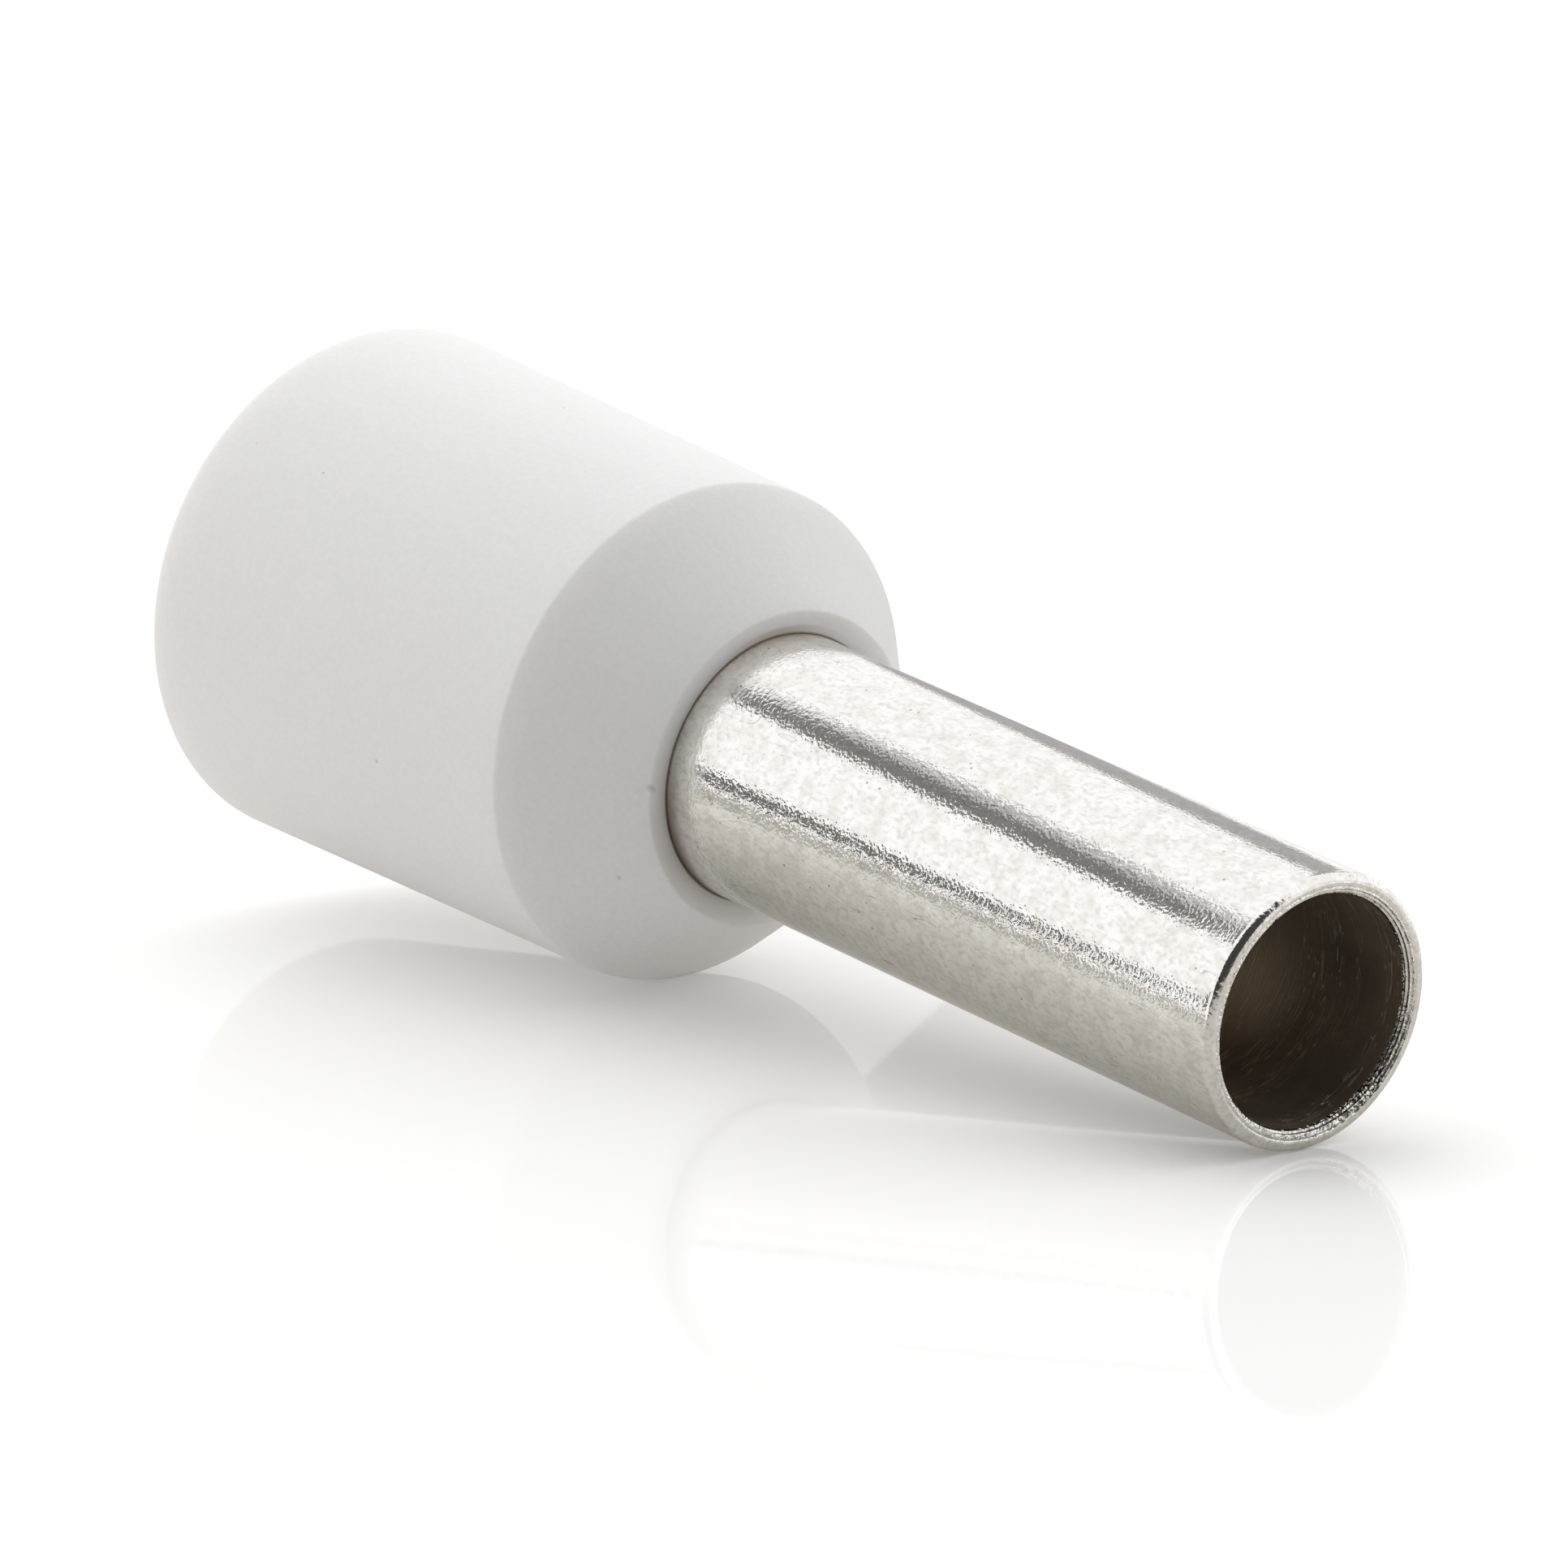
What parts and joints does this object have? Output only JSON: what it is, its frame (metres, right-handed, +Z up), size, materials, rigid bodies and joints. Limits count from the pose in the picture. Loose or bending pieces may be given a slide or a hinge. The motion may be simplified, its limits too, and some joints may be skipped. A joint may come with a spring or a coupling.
{
  "type": "wire ferrule",
  "caption": "Insulated wire ferrule: a thin tinned metal barrel, flared at its wire end, held in a white moulded plastic collar with a sloped shoulder.",
  "frame": {"origin": "on the surface that the ferrule stands on, at the centre of the collar's rear end", "axes": "+Z up along the ferrule's own axis, from the collar's rear end towards the barrel's mouth; the ferrule is round, so +X and +Y may point anywhere"},
  "size_m": [0.0052, 0.0052, 0.014],
  "materials": {
    "white_plastic": "satin",
    "tinned_metal": "satin"
  },
  "bodies": {
    "root": {"collar": "white_plastic", "barrel": "tinned_metal"}
  },
  "joints": []
}
